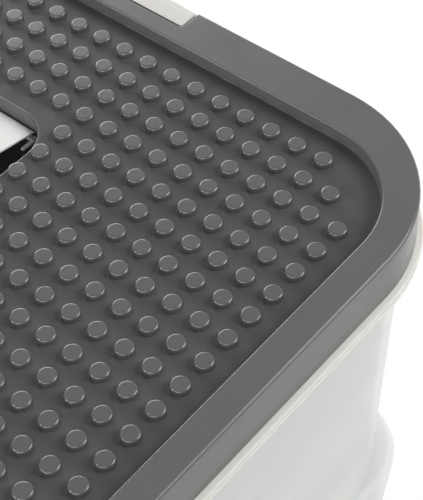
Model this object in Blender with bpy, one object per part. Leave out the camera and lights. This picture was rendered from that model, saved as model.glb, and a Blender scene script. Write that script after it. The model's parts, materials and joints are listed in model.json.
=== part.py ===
"""Pet food bin: a translucent tub, a studded lid held by two clips, and a hinged hatch.

Metres, +Z up. The origin is the centre of the base, +X runs along the long side and
+Y points to the back, where the hatch is hinged.
"""
import math

import bmesh
import bpy
from mathutils import Matrix, Vector

# Overall sizes
RIM_HEIGHT = 0.320            # floor to the top of the lid's rim
LID_LENGTH = 0.280            # along X
LID_WIDTH = 0.1928            # along Y
LID_CORNER = 0.038            # plan radius of the lid's outer corners
SMALLEST_CORNER = 0.002       # plan radius that an inset corner never goes below
SEAT_GAP = 0.0003             # between pieces that sit on each other

# Lid rim, panel and plug
SIDE_RIM = 0.008              # rim width along the left and right sides
END_RIM = 0.0124              # rim width along the front and back
RECESS_CORNER = 0.026
RECESS_DEPTH = 0.0038         # rim top to panel
RIM_ROUNDING = 0.0015
RECESS_ROUNDING = 0.0006
TOP_THICKNESS = 0.0022        # rim top and panel
SKIRT_HEIGHT = 0.0136
SKIRT_WALL = 0.002
PLUG_WALL = 0.0024
PLUG_CLEARANCE = 0.00095      # plug to the inside of the neck
PLUG_REACH = 0.0045           # plug below the skirt's lower edge

# Studs
STUD_PITCH = 0.008
STUD_DIAMETER = 0.0048
STUD_HEIGHT = 0.0018
STUD_ROOT = 0.0006            # part of the stud inside the panel
STUD_SIDES = 5
STUD_WALL_GAP = 0.0068        # least distance from a stud's centre to the recess wall
STUD_HATCH_GAP = 0.003        # least distance from a stud's centre to the hatch well

# Hatch well, coaming and flap
WELL_LENGTH = 0.0974          # along X
WELL_WIDTH = 0.0890           # along Y
WELL_CORNER = 0.0105
WELL_DEPTH = 0.012            # panel to the floor of the well
WELL_WALL = 0.002
HOOD_GAP = 0.0003             # hood on the back wall of the well to the flap's round back edge
HOOD_TOP_DROP = 0.0002        # panel to the top of the hood
HOOD_TIP_DROP = 0.0002        # hinge axis to the tip of the hood
HOOD_HEIGHT = 0.0018          # height of the hood's sloped underside
HOOD_ROOT = 0.0002            # part of the hood inside the wall
MOAT_SIDE = 0.0052            # well wall to coaming at the left and right
MOAT_FRONT = 0.0048
MOAT_HINGE = 0.0133           # room for the hinge at the back
COAMING_WALL = 0.002
COAMING_CORNER = 0.010
THUMB_RADIUS = 0.012          # notch in the front of the well for lifting the flap
FLAP_SIDE_GAP = 0.0059        # flap edge to the side wall of the well
FLAP_BACK_GAP = 0.0015        # round back edge to the back wall of the well
FLAP_FRONT_GAP = 0.0012
FLAP_WALL_GAP = 0.00035       # flap's corners to the rounded corners of the well
FLAP_THICKNESS = 0.002
FLAP_AJAR_DEG = 11.0
BARREL_RADIUS = 0.0012        # round back edge of the flap, about the hinge axis
HINGE_DROP = 0.004            # hinge axis below the panel
TAB_INSET = 0.0008            # tab under the flap, inside its side edge
TAB_WIDTH = 0.0017
TAB_THICKNESS = 0.0005
TAB_DROP = 0.0009             # hinge axis to the top of the tab
TAB_FRONT = 0.0042            # front end of the tab in front of the hinge axis
TAB_BACK = 0.0004             # back end of the tab behind the hinge axis
PIN_RADIUS = 0.0005
PIN_DEPTH = 0.004             # pin inside the flap
PIN_CLEARANCE = 0.0003        # radial, in every bore
HATCH_GASKET_HEIGHT = 0.0013
HATCH_SEAT_GAP = 0.0003       # closed flap above its gasket

# Tub
BODY_WALL = 0.002
FLANGE_OVERHANG = 0.0015      # beyond the lid's outline
FLANGE_THICKNESS = 0.0027
NECK_INSET = 0.00295          # outside of the neck, inside the lid's outline, at the flange
NECK_DRAFT_DEG = 2.15
NECK_HEIGHT = 0.0959          # flange to the ledge on top of the shoulder
SHOULDER_LEDGE = 0.0004       # width of that ledge along the straight sides
SHOULDER_RADIUS = 0.004
SHOULDER_INSET = 0.0048       # widest part of the shoulder inside the lid's outline
SHOULDER_CORNER = 0.0204      # plan radius of the corners from the shoulder down
WALL_DRAFT_DEG = 4.0          # lower wall
BASE_FILLET = 0.010

# Lid gasket, a square ring round the plug
GASKET_HEIGHT = 0.0024
GASKET_DEPTH = 0.0012
GASKET_RISE = 0.0008          # above the plug's lower edge
GASKET_PROUD = 0.0006         # stands out of the plug

# Clips
NOTCH_LENGTH = 0.1044         # gap in the rim, along X
NOTCH_DEPTH = 0.0071          # into the rim
NOTCH_DROP = 0.005            # rim top to the ledge under the hook
NOTCH_CORNER = 0.0015
LEDGE_THICKNESS = 0.003
LEDGE_FACE_INSET = 0.0023     # outer face of the ledge inside the lid's outline
CLIP_SIDE_GAP = 0.0008
CLIP_TIP_GAP = 0.0006         # hook tip to the inner wall of the notch
CLIP_HOOK_GAP = 0.0004        # underside of the hook to the ledge
CLIP_TOP_DROP = 0.0004        # top of the clip below the rim
CLIP_THICKNESS = 0.0024
CLIP_PROUD = 0.0022           # outer face of the clip beyond the lid's outline
CLIP_ROLL = 0.0045            # radius of the rolled top edge
CLIP_LENGTH = 0.048           # rim top to the clip's pivot
CLIP_FLANGE_GAP = 0.0006      # inner face of the clip to the flange
KNUCKLE_RADIUS = 0.0026
CLIP_PIN_RADIUS = 0.00125
LUG_WIDTH = 0.0054
LUG_SIDE_GAP = 0.0005
LIP_REACH = 0.0024            # finger lip on the clip
LIP_HEIGHT = 0.0058
LIP_DROP = 0.0122             # rim top to the top of the lip
LIP_FLAT = 0.0015

# Fineness of the rounded shapes
CORNER_STEPS = 6
WELL_CORNER_STEPS = 4
ARC_STEPS = 5
ROUND_SIDES = 16
CUT_MARGIN = 0.002            # cutters reach past what they cut

# Levels worked out from the sizes above
panel_z = RIM_HEIGHT - RECESS_DEPTH
panel_under_z = panel_z - TOP_THICKNESS
rim_under_z = RIM_HEIGHT - TOP_THICKNESS
skirt_z = RIM_HEIGHT - SKIRT_HEIGHT
plug_z = skirt_z - PLUG_REACH
flange_z = skirt_z - SEAT_GAP
neck_z = flange_z - FLANGE_THICKNESS
shoulder_z = neck_z - NECK_HEIGHT
ledge_z = RIM_HEIGHT - NOTCH_DROP
well_floor_z = panel_z - WELL_DEPTH
hinge_z = panel_z - HINGE_DROP
flap_under_z = hinge_z + BARREL_RADIUS - FLAP_THICKNESS
coaming_z = flap_under_z - HATCH_SEAT_GAP - HATCH_GASKET_HEIGHT - SEAT_GAP
clip_pivot_z = RIM_HEIGHT - CLIP_LENGTH

half_length = LID_LENGTH / 2
half_width = LID_WIDTH / 2
hinge_y = WELL_WIDTH / 2 - FLAP_BACK_GAP - BARREL_RADIUS
mouth_inset = NECK_INSET + BODY_WALL
plug_inset = mouth_inset + PLUG_CLEARANCE
clip_inner = CLIP_PROUD - CLIP_THICKNESS
clip_pivot_out = CLIP_PROUD - KNUCKLE_RADIUS
clip_pivot_y = half_width + clip_pivot_out
clip_half = NOTCH_LENGTH / 2 - CLIP_SIDE_GAP
flap_half = WELL_LENGTH / 2 - FLAP_SIDE_GAP

hole_half_x = WELL_LENGTH / 2 - MOAT_SIDE - COAMING_WALL
hole_front = -WELL_WIDTH / 2 + MOAT_FRONT + COAMING_WALL
hole_back = WELL_WIDTH / 2 - MOAT_HINGE - COAMING_WALL
hole_y = (hole_front + hole_back) / 2
hole_half_y = (hole_back - hole_front) / 2


def clear_scene():
    for old in list(bpy.data.objects):
        bpy.data.objects.remove(old, do_unlink=True)


def new_collection(name):
    collection = bpy.data.collections.new(name)
    bpy.context.scene.collection.children.link(collection)
    return collection


clear_scene()
parts = new_collection("pet_food_bin")
cutters = new_collection("cutters")


def new_material(name, colour, roughness, alpha=1.0):
    material = bpy.data.materials.new(name)
    material.use_nodes = True
    shader = material.node_tree.nodes["Principled BSDF"]
    shader.inputs["Base Color"].default_value = (*colour, 1.0)
    shader.inputs["Roughness"].default_value = roughness
    shader.inputs["Metallic"].default_value = 0.0
    shader.inputs["Alpha"].default_value = alpha
    return material


def new_object(name, bm, collection):
    bmesh.ops.recalc_face_normals(bm, faces=bm.faces)
    mesh = bpy.data.meshes.new(name)
    bm.to_mesh(mesh)
    bm.free()
    mesh.shade_smooth()
    mesh.set_sharp_from_angle(angle=math.radians(35))
    made = bpy.data.objects.new(name, mesh)
    collection.objects.link(made)
    return made


def part(name, bm, colour, roughness, alpha=1.0):
    made = new_object(name, bm, parts)
    made.data.materials.append(new_material(name, colour, roughness, alpha))
    return made


def tool(name, bm):
    """A shape that cuts or joins another and isn't a piece itself."""
    made = new_object(name, bm, cutters)
    made.hide_render = True
    made.display_type = "WIRE"
    return made


def boolean(target, operand, operation):
    modifier = target.modifiers.new(operand.name, "BOOLEAN")
    modifier.operation = operation
    modifier.solver = "EXACT"
    modifier.object = operand


def ring(half_x, half_y, radius, z, steps, centre_y=0.0):
    """Points of a rounded rectangle, anticlockwise seen from above."""
    radius = max(radius, SMALLEST_CORNER)
    points = []
    for quarter, (side_x, side_y) in enumerate(((1, 1), (-1, 1), (-1, -1), (1, -1))):
        for step in range(steps + 1):
            angle = (quarter + step / steps) * math.pi / 2
            x = side_x * (half_x - radius) + radius * math.cos(angle)
            y = side_y * (half_y - radius) + radius * math.sin(angle)
            points.append(Vector((x, y + centre_y, z)))
    return points


def inset_ring(inset, z):
    """The lid's outline drawn in by an inset, at a height."""
    return ring(half_length - inset, half_width - inset, LID_CORNER - inset, z, CORNER_STEPS)


def loft(rings, closed=False):
    """Skin a row of rings. An open row gets a cap at each end, a closed one meets itself."""
    bm = bmesh.new()
    rows = [[bm.verts.new(point) for point in points] for points in rings]
    count = len(rows[0])
    pairs = list(zip(rows, rows[1:]))
    if closed:
        pairs.append((rows[-1], rows[0]))
    for low, high in pairs:
        for i in range(count):
            j = (i + 1) % count
            bm.faces.new((low[i], low[j], high[j], high[i]))
    if not closed:
        bm.faces.new(rows[0])
        bm.faces.new(rows[-1])
    return bm


def block(half_x, half_y, radius, low_z, high_z, centre_y=0.0):
    """An upright block with rounded corners."""
    steps = WELL_CORNER_STEPS
    return loft([ring(half_x, half_y, radius, z, steps, centre_y) for z in (low_z, high_z)])


def add_box(bm, low, high):
    """Add an axis-aligned box between two corners."""
    low = Vector(low)
    high = Vector(high)
    size = Matrix.Diagonal((*(high - low), 1.0))
    bmesh.ops.create_cube(bm, size=1.0, matrix=Matrix.Translation((low + high) / 2) @ size)


def add_bar(bm, radius, x_from, x_to, y, z):
    """Add a round bar that runs along X."""
    turn = Matrix.Rotation(math.pi / 2, 4, "Y")
    place = Matrix.Translation(((x_from + x_to) / 2, y, z))
    bmesh.ops.create_cone(
        bm, cap_ends=True, segments=ROUND_SIDES, radius1=radius, radius2=radius,
        depth=abs(x_to - x_from), matrix=place @ turn,
    )


def add_prism(bm, outline, x_from, x_to):
    """Extrude an outline of (y, z) points along X."""
    face = bm.faces.new([bm.verts.new((x_from, y, z)) for y, z in outline])
    grown = bmesh.ops.extrude_face_region(bm, geom=[face])["geom"]
    moved = [item for item in grown if isinstance(item, bmesh.types.BMVert)]
    bmesh.ops.translate(bm, verts=moved, vec=(x_to - x_from, 0.0, 0.0))


def arc(centre, radius, start_deg, end_deg, steps):
    """Points of an arc, both ends included."""
    points = []
    for step in range(steps + 1):
        angle = math.radians(start_deg + (end_deg - start_deg) * step / steps)
        points.append((centre[0] + radius * math.cos(angle), centre[1] + radius * math.sin(angle)))
    return points


def both_ends(bm):
    """Add a copy turned half round Z, so that the back gets a twin at the front."""
    copied = bmesh.ops.duplicate(bm, geom=bm.verts[:] + bm.edges[:] + bm.faces[:])["geom"]
    turned = [item for item in copied if isinstance(item, bmesh.types.BMVert)]
    bmesh.ops.rotate(bm, verts=turned, cent=(0.0, 0.0, 0.0), matrix=Matrix.Rotation(math.pi, 3, "Z"))
    return bm


def edge_distance(x, y, half_x, half_y, radius):
    """Distance from a point to a rounded rectangle, negative inside it."""
    reach_x = abs(x) - (half_x - radius)
    reach_y = abs(y) - (half_y - radius)
    outside = math.hypot(max(reach_x, 0.0), max(reach_y, 0.0))
    return outside + min(max(reach_x, reach_y), 0.0) - radius


def tub_skin(wall):
    """Profile of the tub as (inset, z, corner radius), from the neck down, drawn in by a wall."""
    draft = math.radians(WALL_DRAFT_DEG)
    neck_foot = NECK_INSET + NECK_HEIGHT * math.tan(math.radians(NECK_DRAFT_DEG))
    centre_inset = SHOULDER_INSET + SHOULDER_RADIUS
    ledge_rise = math.sqrt(SHOULDER_RADIUS ** 2 - (centre_inset - neck_foot + SHOULDER_LEDGE) ** 2)
    centre_z = shoulder_z - ledge_rise
    radius = SHOULDER_RADIUS - wall
    ledge_deg = math.degrees(math.asin((ledge_rise - wall) / radius))
    points = []
    for inset, z in ((NECK_INSET + wall, neck_z), (neck_foot + wall, shoulder_z - wall)):
        points.append((inset, z, LID_CORNER - inset))
    for out, z in arc((-centre_inset, centre_z), radius, ledge_deg, -WALL_DRAFT_DEG, ARC_STEPS):
        points.append((-out, z, SHOULDER_CORNER - wall))
    start_inset = centre_inset - SHOULDER_RADIUS * math.cos(draft)
    start_z = centre_z - SHOULDER_RADIUS * math.sin(draft)
    foot_z = BASE_FILLET * (1 - math.sin(draft))
    foot_inset = start_inset + (start_z - foot_z) * math.tan(draft)
    base = (-foot_inset - BASE_FILLET * math.cos(draft), BASE_FILLET)
    for out, z in arc(base, BASE_FILLET - wall, -WALL_DRAFT_DEG, -90, ARC_STEPS):
        points.append((-out, z, SHOULDER_CORNER + foot_inset + out))
    return points


def make_tub():
    profile = list(reversed(tub_skin(0.0)))
    for inset, z in ((-FLANGE_OVERHANG, neck_z), (-FLANGE_OVERHANG, flange_z), (mouth_inset, flange_z)):
        profile.append((inset, z, LID_CORNER - inset))
    profile += tub_skin(BODY_WALL)
    rings = []
    for inset, z, corner in profile:
        rings.append(ring(half_length - inset, half_width - inset, corner, z, CORNER_STEPS))
    tub = part("tub", loft(rings), (0.80, 0.81, 0.80), 0.35, 0.45)
    boolean(tub, tool("clip_lugs", clip_lugs()), "UNION")
    boolean(tub, tool("flange_gaps", flange_gaps()), "DIFFERENCE")
    boolean(tub, tool("lug_bores", lug_bores()), "DIFFERENCE")
    return tub


def clip_lugs():
    """Lugs on the neck that carry the clip pins."""
    wall_y = half_width - NECK_INSET - math.tan(math.radians(NECK_DRAFT_DEG)) * (neck_z - clip_pivot_z)
    root_y = wall_y - BODY_WALL / 2
    outline = [(root_y, clip_pivot_z - KNUCKLE_RADIUS)]
    outline += arc((clip_pivot_y, clip_pivot_z), KNUCKLE_RADIUS, -90, 90, 2 * ARC_STEPS)
    outline.append((root_y, clip_pivot_z + KNUCKLE_RADIUS))
    bm = bmesh.new()
    for side in (-1, 1):
        add_prism(bm, outline, side * (clip_half - LUG_WIDTH), side * clip_half)
    return both_ends(bm)


def flange_gaps():
    """Gaps in the flange that the clips pass through."""
    bm = bmesh.new()
    add_box(
        bm,
        (-NOTCH_LENGTH / 2, half_width + clip_inner - CLIP_FLANGE_GAP, neck_z - CUT_MARGIN),
        (NOTCH_LENGTH / 2, half_width + FLANGE_OVERHANG + CUT_MARGIN, flange_z + CUT_MARGIN),
    )
    return both_ends(bm)


def lug_bores():
    bm = bmesh.new()
    reach = clip_half + CUT_MARGIN
    add_bar(bm, CLIP_PIN_RADIUS + PIN_CLEARANCE, -reach, reach, clip_pivot_y, clip_pivot_z)
    return both_ends(bm)


def make_lid():
    recess_x = half_length - SIDE_RIM
    recess_y = half_width - END_RIM
    groove_low = plug_z + GASKET_RISE - SEAT_GAP
    groove_high = plug_z + GASKET_RISE + GASKET_HEIGHT + SEAT_GAP
    groove_inset = plug_inset - GASKET_PROUD + GASKET_DEPTH + SEAT_GAP
    rings = [
        ring(recess_x, recess_y, RECESS_CORNER, panel_z, CORNER_STEPS),
        ring(recess_x, recess_y, RECESS_CORNER, RIM_HEIGHT - RECESS_ROUNDING, CORNER_STEPS),
        ring(recess_x + RECESS_ROUNDING, recess_y + RECESS_ROUNDING, RECESS_CORNER + RECESS_ROUNDING,
             RIM_HEIGHT, CORNER_STEPS),
    ]
    for out, z in reversed(arc((-RIM_ROUNDING, RIM_HEIGHT - RIM_ROUNDING), RIM_ROUNDING, 0, 90, 2)):
        rings.append(inset_ring(-out, z))
    underside = [
        (0.0, skirt_z), (SKIRT_WALL, skirt_z), (SKIRT_WALL, rim_under_z), (plug_inset, rim_under_z),
        (plug_inset, groove_high), (groove_inset, groove_high), (groove_inset, groove_low),
        (plug_inset, groove_low), (plug_inset, plug_z), (plug_inset + PLUG_WALL, plug_z),
        (plug_inset + PLUG_WALL, panel_under_z),
    ]
    rings += [inset_ring(inset, z) for inset, z in underside]
    lid = part("lid", loft(rings), (0.090, 0.093, 0.092), 0.45)
    boolean(lid, tool("well_outside", well_outside()), "UNION")
    boolean(lid, tool("hook_ledges", hook_ledges()), "UNION")
    boolean(lid, tool("well_inside", well_shape(0.0, well_floor_z, panel_z + CUT_MARGIN)), "DIFFERENCE")
    boolean(lid, tool("coaming", coaming_block()), "UNION")
    boolean(lid, tool("well_hood", well_hood()), "UNION")
    boolean(lid, tool("hatch_hole", hatch_hole()), "DIFFERENCE")
    boolean(lid, tool("hook_notches", hook_notches()), "DIFFERENCE")
    boolean(lid, tool("skirt_gaps", skirt_gaps()), "DIFFERENCE")
    boolean(lid, tool("hatch_pin_bores", hatch_pin_bores()), "DIFFERENCE")
    boolean(lid, tool("studs", studs()), "UNION")
    return lid


def well_shape(wall, low_z, high_z):
    """The well with its thumb notch, grown by a wall, as one block."""
    half_x = WELL_LENGTH / 2 + wall
    half_y = WELL_WIDTH / 2 + wall
    radius = THUMB_RADIUS + wall
    corner = WELL_CORNER + wall
    reach = math.degrees(math.acos(min(wall / radius, 1.0)))
    plan = [(p.x, p.y) for p in ring(half_x, half_y, corner, 0.0, WELL_CORNER_STEPS)]
    front_left = 3 * (WELL_CORNER_STEPS + 1)
    thumb = arc((0.0, -WELL_WIDTH / 2), radius, -90 - reach, -90 + reach, 2 * ARC_STEPS)
    plan = plan[:front_left] + thumb + plan[front_left:]
    return loft([[Vector((x, y, z)) for x, y in plan] for z in (low_z, high_z)])


def well_outside():
    return well_shape(WELL_WALL, well_floor_z - WELL_WALL, panel_under_z + TOP_THICKNESS / 2)


def coaming_block():
    return block(
        hole_half_x + COAMING_WALL, hole_half_y + COAMING_WALL, COAMING_CORNER,
        well_floor_z - WELL_WALL / 2, coaming_z, hole_y,
    )


def hatch_hole():
    return block(
        hole_half_x, hole_half_y, COAMING_CORNER - COAMING_WALL,
        well_floor_z - WELL_WALL - CUT_MARGIN, coaming_z + CUT_MARGIN, hole_y,
    )


def well_hood():
    """A sloped hood on the back wall of the well, close to the flap, whose ends run into the corners."""
    wall_y = WELL_WIDTH / 2
    root_y = wall_y + WELL_WALL / 2
    tip_y = hinge_y + BARREL_RADIUS + HOOD_GAP
    top_z = panel_z - HOOD_TOP_DROP
    tip_z = hinge_z - HOOD_TIP_DROP
    outline = [(root_y, top_z), (wall_y + HOOD_ROOT, top_z), (tip_y, tip_z), (root_y, tip_z - HOOD_HEIGHT)]
    end = corner_x(tip_y) + HOOD_ROOT
    bm = bmesh.new()
    add_prism(bm, outline, -end, end)
    return bm


def corner_x(y):
    """Where a line along X meets the rounded back corner of the well."""
    rise = max(y - WELL_WIDTH / 2 + WELL_CORNER, 0.0)
    return WELL_LENGTH / 2 - WELL_CORNER + math.sqrt(WELL_CORNER ** 2 - rise ** 2)


def hook_ledges():
    """Solid ledges under the rim that the clip hooks press on."""
    side = NOTCH_LENGTH / 2 + SKIRT_WALL
    bm = bmesh.new()
    add_box(
        bm,
        (-side, half_width - plug_inset - PLUG_WALL / 2, ledge_z - LEDGE_THICKNESS),
        (side, half_width - LEDGE_FACE_INSET, rim_under_z + TOP_THICKNESS / 2),
    )
    return both_ends(bm)


def hook_notches():
    """Notches in the rim, open to the outside, that the hooks lie in."""
    half_y = NOTCH_DEPTH + CUT_MARGIN
    return both_ends(block(
        NOTCH_LENGTH / 2, half_y, NOTCH_CORNER, ledge_z, RIM_HEIGHT + CUT_MARGIN,
        half_width - NOTCH_DEPTH + half_y,
    ))


def skirt_gaps():
    """Gaps in the skirt behind the clips."""
    half_y = LEDGE_FACE_INSET + CUT_MARGIN
    bm = bmesh.new()
    add_box(
        bm,
        (-NOTCH_LENGTH / 2, half_width - LEDGE_FACE_INSET, skirt_z - CUT_MARGIN),
        (NOTCH_LENGTH / 2, half_width + half_y, ledge_z + CUT_MARGIN),
    )
    return both_ends(bm)


def hatch_pin_bores():
    bm = bmesh.new()
    reach = WELL_LENGTH / 2 + WELL_WALL + CUT_MARGIN
    add_bar(bm, PIN_RADIUS + PIN_CLEARANCE, -reach, reach, hinge_y, hinge_z)
    return bm


def studs():
    recess_x = half_length - SIDE_RIM
    recess_y = half_width - END_RIM
    columns = math.floor(2 * recess_x / STUD_PITCH + 1e-6) - 1
    rows = math.floor(2 * recess_y / STUD_PITCH + 1e-6) - 1
    bm = bmesh.new()
    for column in range(columns):
        for row in range(rows):
            x = (column - (columns - 1) / 2) * STUD_PITCH
            y = (row - (rows - 1) / 2) * STUD_PITCH
            wall = -edge_distance(x, y, recess_x, recess_y, RECESS_CORNER)
            well = edge_distance(x, y, WELL_LENGTH / 2, WELL_WIDTH / 2, WELL_CORNER)
            thumb = math.hypot(x, y + WELL_WIDTH / 2) - THUMB_RADIUS
            if wall < STUD_WALL_GAP or min(well, thumb) < STUD_HATCH_GAP:
                continue
            bmesh.ops.create_cone(
                bm, cap_ends=True, segments=STUD_SIDES, radius1=STUD_DIAMETER / 2,
                radius2=STUD_DIAMETER / 2, depth=STUD_HEIGHT + STUD_ROOT,
                matrix=Matrix.Translation((x, y, panel_z + (STUD_HEIGHT - STUD_ROOT) / 2)),
            )
    return bm


def make_lid_gasket(lid):
    outer = plug_inset - GASKET_PROUD
    low = plug_z + GASKET_RISE
    corners = [
        (outer, low), (outer, low + GASKET_HEIGHT),
        (outer + GASKET_DEPTH, low + GASKET_HEIGHT), (outer + GASKET_DEPTH, low),
    ]
    rings = [inset_ring(inset, z) for inset, z in corners]
    gasket = part("lid_gasket", loft(rings, closed=True), (0.10, 0.10, 0.10), 0.6)
    gasket.parent = lid


def make_hatch_gasket(lid):
    low = coaming_z + SEAT_GAP
    high = low + HATCH_GASKET_HEIGHT
    corners = [(0.0, low), (0.0, high), (COAMING_WALL, high), (COAMING_WALL, low)]
    rings = []
    for grow, z in corners:
        rings.append(ring(hole_half_x + grow, hole_half_y + grow, COAMING_CORNER - COAMING_WALL + grow,
                          z, WELL_CORNER_STEPS, hole_y))
    gasket = part("hatch_gasket", loft(rings, closed=True), (0.10, 0.10, 0.10), 0.6)
    gasket.parent = lid


def make_hatch_pins(lid):
    """Two stub pins that run from the walls of the well into the flap's round back edge."""
    outer = corner_x(hinge_y) + WELL_WALL / 2
    for name, side in (("hatch_pin_left", -1), ("hatch_pin_right", 1)):
        bm = bmesh.new()
        add_bar(bm, PIN_RADIUS, side * (flap_half - PIN_DEPTH), side * outer, 0.0, 0.0)
        pin = part(name, bm, (0.090, 0.093, 0.092), 0.45)
        pin.location = (0.0, hinge_y, hinge_z)
        pin.parent = lid


def flap_section():
    """Section of the closed flap as (y, z) about its hinge axis, with a round back edge."""
    front = -WELL_WIDTH / 2 + FLAP_FRONT_GAP - hinge_y
    under = BARREL_RADIUS - FLAP_THICKNESS
    meet_deg = math.degrees(math.asin(max(under / BARREL_RADIUS, -1.0)))
    points = arc((0.0, 0.0), BARREL_RADIUS, 90, -180 - meet_deg, 2 * ARC_STEPS)
    return points + [(front, under), (front, BARREL_RADIUS)]


def flap_tab(side):
    """A thin tab under the flap's back corner, level while the flap stands ajar."""
    inner = flap_half - TAB_INSET
    low_x, high_x = sorted((side * inner, side * (inner + TAB_WIDTH)))
    bm = bmesh.new()
    add_box(bm, (low_x, -TAB_FRONT, -TAB_DROP - TAB_THICKNESS), (high_x, TAB_BACK, -TAB_DROP))
    turn = Matrix.Rotation(math.radians(FLAP_AJAR_DEG), 3, "X")
    bmesh.ops.rotate(bm, verts=bm.verts, cent=(0.0, 0.0, 0.0), matrix=turn)
    return bm


def flap_trim():
    """The well's outline drawn in by a gap, about the hinge axis, which trims the flap's corners."""
    return block(
        WELL_LENGTH / 2 - FLAP_WALL_GAP, WELL_WIDTH / 2 - FLAP_WALL_GAP, WELL_CORNER - FLAP_WALL_GAP,
        -WELL_DEPTH, WELL_DEPTH, -hinge_y,
    )


def flap_bore(side):
    inner = flap_half - PIN_DEPTH - SEAT_GAP
    bm = bmesh.new()
    add_bar(bm, PIN_RADIUS + PIN_CLEARANCE, side * inner, side * (flap_half + CUT_MARGIN), 0.0, 0.0)
    return bm


def make_hatch_flap(lid):
    """The flap is drawn closed about its hinge axis, then turned to stand ajar."""
    bm = bmesh.new()
    add_prism(bm, flap_section(), -flap_half, flap_half)
    flap = part("hatch_flap", bm, (0.82, 0.82, 0.82), 0.4)
    flap.location = (0.0, hinge_y, hinge_z)
    flap.rotation_euler = (-math.radians(FLAP_AJAR_DEG), 0.0, 0.0)
    flap.parent = lid
    steps = [
        ("flap_tab_left", flap_tab(-1), "UNION"), ("flap_tab_right", flap_tab(1), "UNION"),
        ("flap_trim", flap_trim(), "INTERSECT"),
        ("flap_bore_left", flap_bore(-1), "DIFFERENCE"), ("flap_bore_right", flap_bore(1), "DIFFERENCE"),
    ]
    for name, shape, operation in steps:
        operand = tool(name, shape)
        operand.parent = flap
        boolean(flap, operand, operation)


def clip_outline():
    """Section of a clip as (y, z) about its pivot, with y pointing away from the bin."""
    outer = CLIP_PROUD - clip_pivot_out
    inner = clip_inner - clip_pivot_out
    tip = -NOTCH_DEPTH + CLIP_TIP_GAP - clip_pivot_out
    top = CLIP_LENGTH - CLIP_TOP_DROP
    hook = CLIP_LENGTH - NOTCH_DROP + CLIP_HOOK_GAP
    lip = CLIP_LENGTH - LIP_DROP
    inner_deg = math.degrees(math.acos(inner / KNUCKLE_RADIUS))
    points = [(tip, top), (tip, hook), (inner, hook)]
    points += arc((0.0, 0.0), KNUCKLE_RADIUS, inner_deg, 360, 2 * ARC_STEPS)
    points += [
        (outer, lip - LIP_HEIGHT), (outer + LIP_REACH, lip - LIP_FLAT - LIP_REACH / 4),
        (outer + LIP_REACH, lip - LIP_REACH / 4), (outer, lip),
    ]
    points += arc((outer - CLIP_ROLL, top - CLIP_ROLL), CLIP_ROLL, 0, 90, ARC_STEPS)
    return points


def make_clips(tub):
    """A clip and its pin at the back, and their twins at the front."""
    knuckle_half = clip_half - LUG_WIDTH - LUG_SIDE_GAP
    for name, turn_deg in (("back_clip", 0.0), ("front_clip", 180.0)):
        side = 1 if turn_deg == 0.0 else -1
        bm = bmesh.new()
        add_prism(bm, clip_outline(), -clip_half, clip_half)
        clip = part(name, bm, (0.66, 0.65, 0.63), 0.4, 0.8)
        clip.location = (0.0, side * clip_pivot_y, clip_pivot_z)
        clip.rotation_euler = (0.0, 0.0, math.radians(turn_deg))
        cuts = bmesh.new()
        spread = KNUCKLE_RADIUS + LUG_SIDE_GAP
        for end in (-1, 1):
            low_x, high_x = sorted((end * knuckle_half, end * (clip_half + CUT_MARGIN)))
            add_box(cuts, (low_x, -spread, -spread), (high_x, spread, spread))
        bore = bmesh.new()
        add_bar(bore, CLIP_PIN_RADIUS + PIN_CLEARANCE, -clip_half, clip_half, 0.0, 0.0)
        for label, shape in (("lug_slots", cuts), ("bore", bore)):
            operand = tool(name + "_" + label, shape)
            operand.parent = clip
            boolean(clip, operand, "DIFFERENCE")
        pin_bm = bmesh.new()
        add_bar(pin_bm, CLIP_PIN_RADIUS, -clip_half, clip_half, 0.0, 0.0)
        pin = part(name + "_pin", pin_bm, (0.55, 0.55, 0.54), 0.4)
        pin.location = clip.location
        pin.parent = tub


def main():
    tub = make_tub()
    lid = make_lid()
    make_lid_gasket(lid)
    make_hatch_gasket(lid)
    make_hatch_pins(lid)
    make_hatch_flap(lid)
    make_clips(tub)


main()
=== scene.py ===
"""Looks of the pet food bin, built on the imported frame.

Metres, +Z up. The origin is the centre of the base, +X runs along the long side and
+Y points to the back, where the hatch is hinged.
"""

import json
import math

import bmesh
import bpy
from mathutils import Matrix, Vector


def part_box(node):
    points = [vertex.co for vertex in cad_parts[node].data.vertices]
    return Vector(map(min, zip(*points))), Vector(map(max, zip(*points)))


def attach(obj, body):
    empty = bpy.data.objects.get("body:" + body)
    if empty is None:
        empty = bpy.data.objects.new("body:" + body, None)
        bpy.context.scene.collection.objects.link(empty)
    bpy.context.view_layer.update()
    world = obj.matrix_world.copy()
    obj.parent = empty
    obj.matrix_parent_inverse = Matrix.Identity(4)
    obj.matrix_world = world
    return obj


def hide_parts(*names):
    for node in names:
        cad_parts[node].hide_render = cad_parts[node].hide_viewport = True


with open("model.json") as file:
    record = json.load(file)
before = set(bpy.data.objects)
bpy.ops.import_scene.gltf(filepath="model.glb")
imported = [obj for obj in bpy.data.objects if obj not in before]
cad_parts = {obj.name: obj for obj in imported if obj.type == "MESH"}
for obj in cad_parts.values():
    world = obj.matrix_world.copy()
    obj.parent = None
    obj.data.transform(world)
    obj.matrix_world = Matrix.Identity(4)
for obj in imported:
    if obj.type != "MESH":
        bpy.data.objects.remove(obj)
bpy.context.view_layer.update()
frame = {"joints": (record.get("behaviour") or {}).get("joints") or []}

# Camera, as fitted to the studs of the photograph
IMAGE_HEIGHT_PX = 500
FOCAL_LENGTH_PX = 1550.7
SENSOR_MM = 36.0
CAMERA_PLACE = (0.2592, -0.1349, 0.5869)
CAMERA_AZIMUTH_DEG = 41.83
CAMERA_ELEVATION_DEG = 49.39
CAMERA_ROLL_DEG = -2.91

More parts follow.
